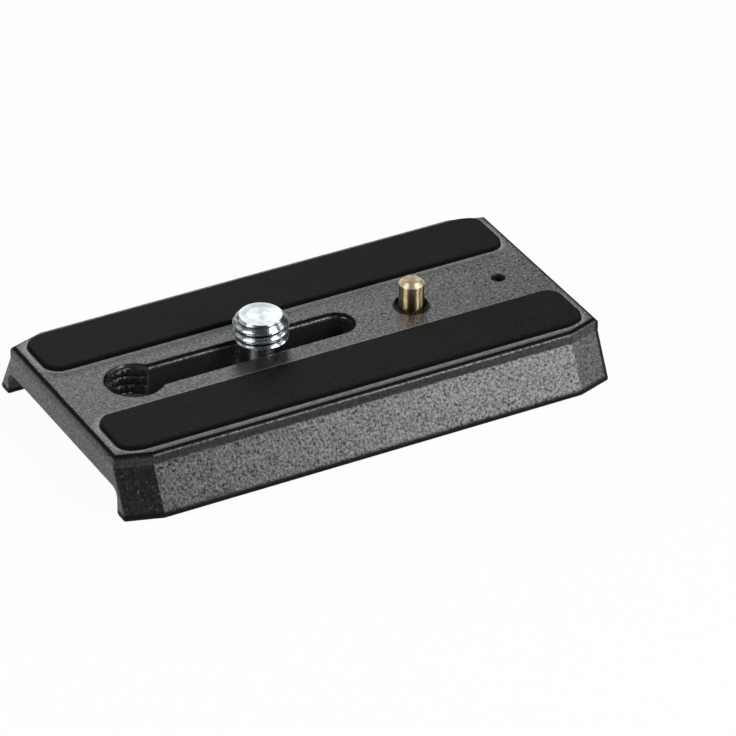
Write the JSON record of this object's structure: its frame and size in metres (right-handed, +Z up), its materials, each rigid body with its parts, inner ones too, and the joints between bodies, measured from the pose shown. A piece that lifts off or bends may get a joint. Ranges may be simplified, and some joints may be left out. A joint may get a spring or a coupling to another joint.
{
  "type": "tripod quick release plate",
  "caption": "Sliding quick release plate with flared dovetail sides, keyhole slot, threaded camera screw, sprung registration pin and rubber grip strips.",
  "frame": {"origin": "middle of the plate's length and width, on the table under its two feet", "axes": "+X along the plate from the keyhole towards the small end hole, +Y across it away from the viewer, +Z up through the camera screw"},
  "size_m": [0.09, 0.0498, 0.0161],
  "materials": {
    "plate_coat": "dark grey textured powder coat over cast aluminium",
    "pad_rubber": "matt black rubber",
    "plated_steel": "bright zinc plate",
    "pin_brass": "turned, slightly dulled brass",
    "spring_steel": "plain spring wire"
  },
  "bodies": {
    "plate": {"plate_body": "plate_coat", "near_pad": "pad_rubber", "far_pad": "pad_rubber", "pin_spring": "spring_steel", "pin_cap": "plated_steel"},
    "screw": {"camera_screw": "plated_steel"},
    "pin": {"video_pin": "pin_brass"}
  },
  "joints": [
    {"name": "screw_slide", "type": "slide", "parent": "plate", "child": "screw", "axis": [1, 0, 0], "range_m": [-0.0232, 0.0141]},
    {"name": "pin_press", "type": "slide", "parent": "plate", "child": "pin", "axis": [0, 0, -1], "range_m": [0, 0.004], "stiffness_N_per_m": 400, "springref_m": -0.003, "deforming": ["pin_spring"]}
  ]
}
